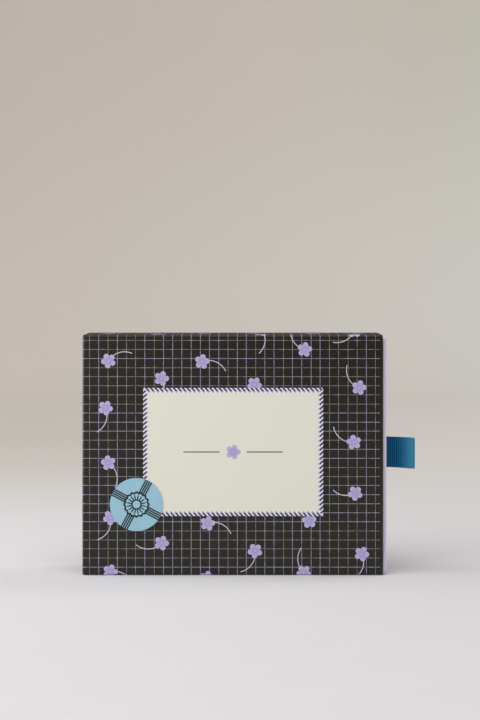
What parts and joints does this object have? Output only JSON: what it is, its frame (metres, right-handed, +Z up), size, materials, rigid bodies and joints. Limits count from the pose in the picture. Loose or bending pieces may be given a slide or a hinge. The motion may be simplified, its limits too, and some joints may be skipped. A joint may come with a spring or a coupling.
{
  "type": "wax seal set box",
  "caption": "Upright slipcase box with a printed paper wrap and a drawer tray on a ribbon pull, holding a seal stamp, wax sticks and a melting spoon.",
  "frame": {"origin": "centre of the face that the slipcase stands on", "axes": "+X towards the mouth that the drawer slides out of, -Y towards the labelled front, +Z up"},
  "size_m": [0.1621, 0.0403, 0.116],
  "materials": {
    "printed_paper": "matte",
    "greyboard": "matte",
    "label_paper": "matte",
    "sticker_paper": "satin",
    "lavender_paper": "matte",
    "ribbon": "satin",
    "foam": "matte",
    "brass": "polished",
    "turned_wood": "satin",
    "wax": "satin",
    "wick": "matte"
  },
  "bodies": {
    "sleeve": {"sleeve_front_board": "greyboard", "sleeve_back_board": "greyboard", "sleeve_top_board": "greyboard", "sleeve_bottom_board": "greyboard", "sleeve_end_board": "greyboard", "sleeve_wrap": "printed_paper", "bottom_wrap": "printed_paper", "front_label": "label_paper", "round_sticker": "sticker_paper"},
    "drawer": {"tray_base_board": "greyboard", "tray_top_wall": "greyboard", "tray_bottom_wall": "greyboard", "tray_rear_end": "greyboard", "tray_pull_end": "greyboard", "tray_wrap": "lavender_paper", "base_liner": "lavender_paper", "ribbon_pull": "ribbon", "foam_insert": "foam", "seal_head": "brass", "handle_stud": "brass", "handle_ferrule": "brass", "stamp_handle": "turned_wood", "spoon_bowl": "brass", "spoon_ferrule": "brass", "spoon_handle": "turned_wood", "wax_stick_1": "wax", "wick_1": "wick", "wax_stick_2": "wax", "wick_2": "wick", "wax_stick_3": "wax", "wick_3": "wick"}
  },
  "joints": [
    {"name": "drawer_slide", "type": "slide", "parent": "sleeve", "child": "drawer", "axis": [1, 0, 0], "range_m": [0, 0.13]}
  ]
}
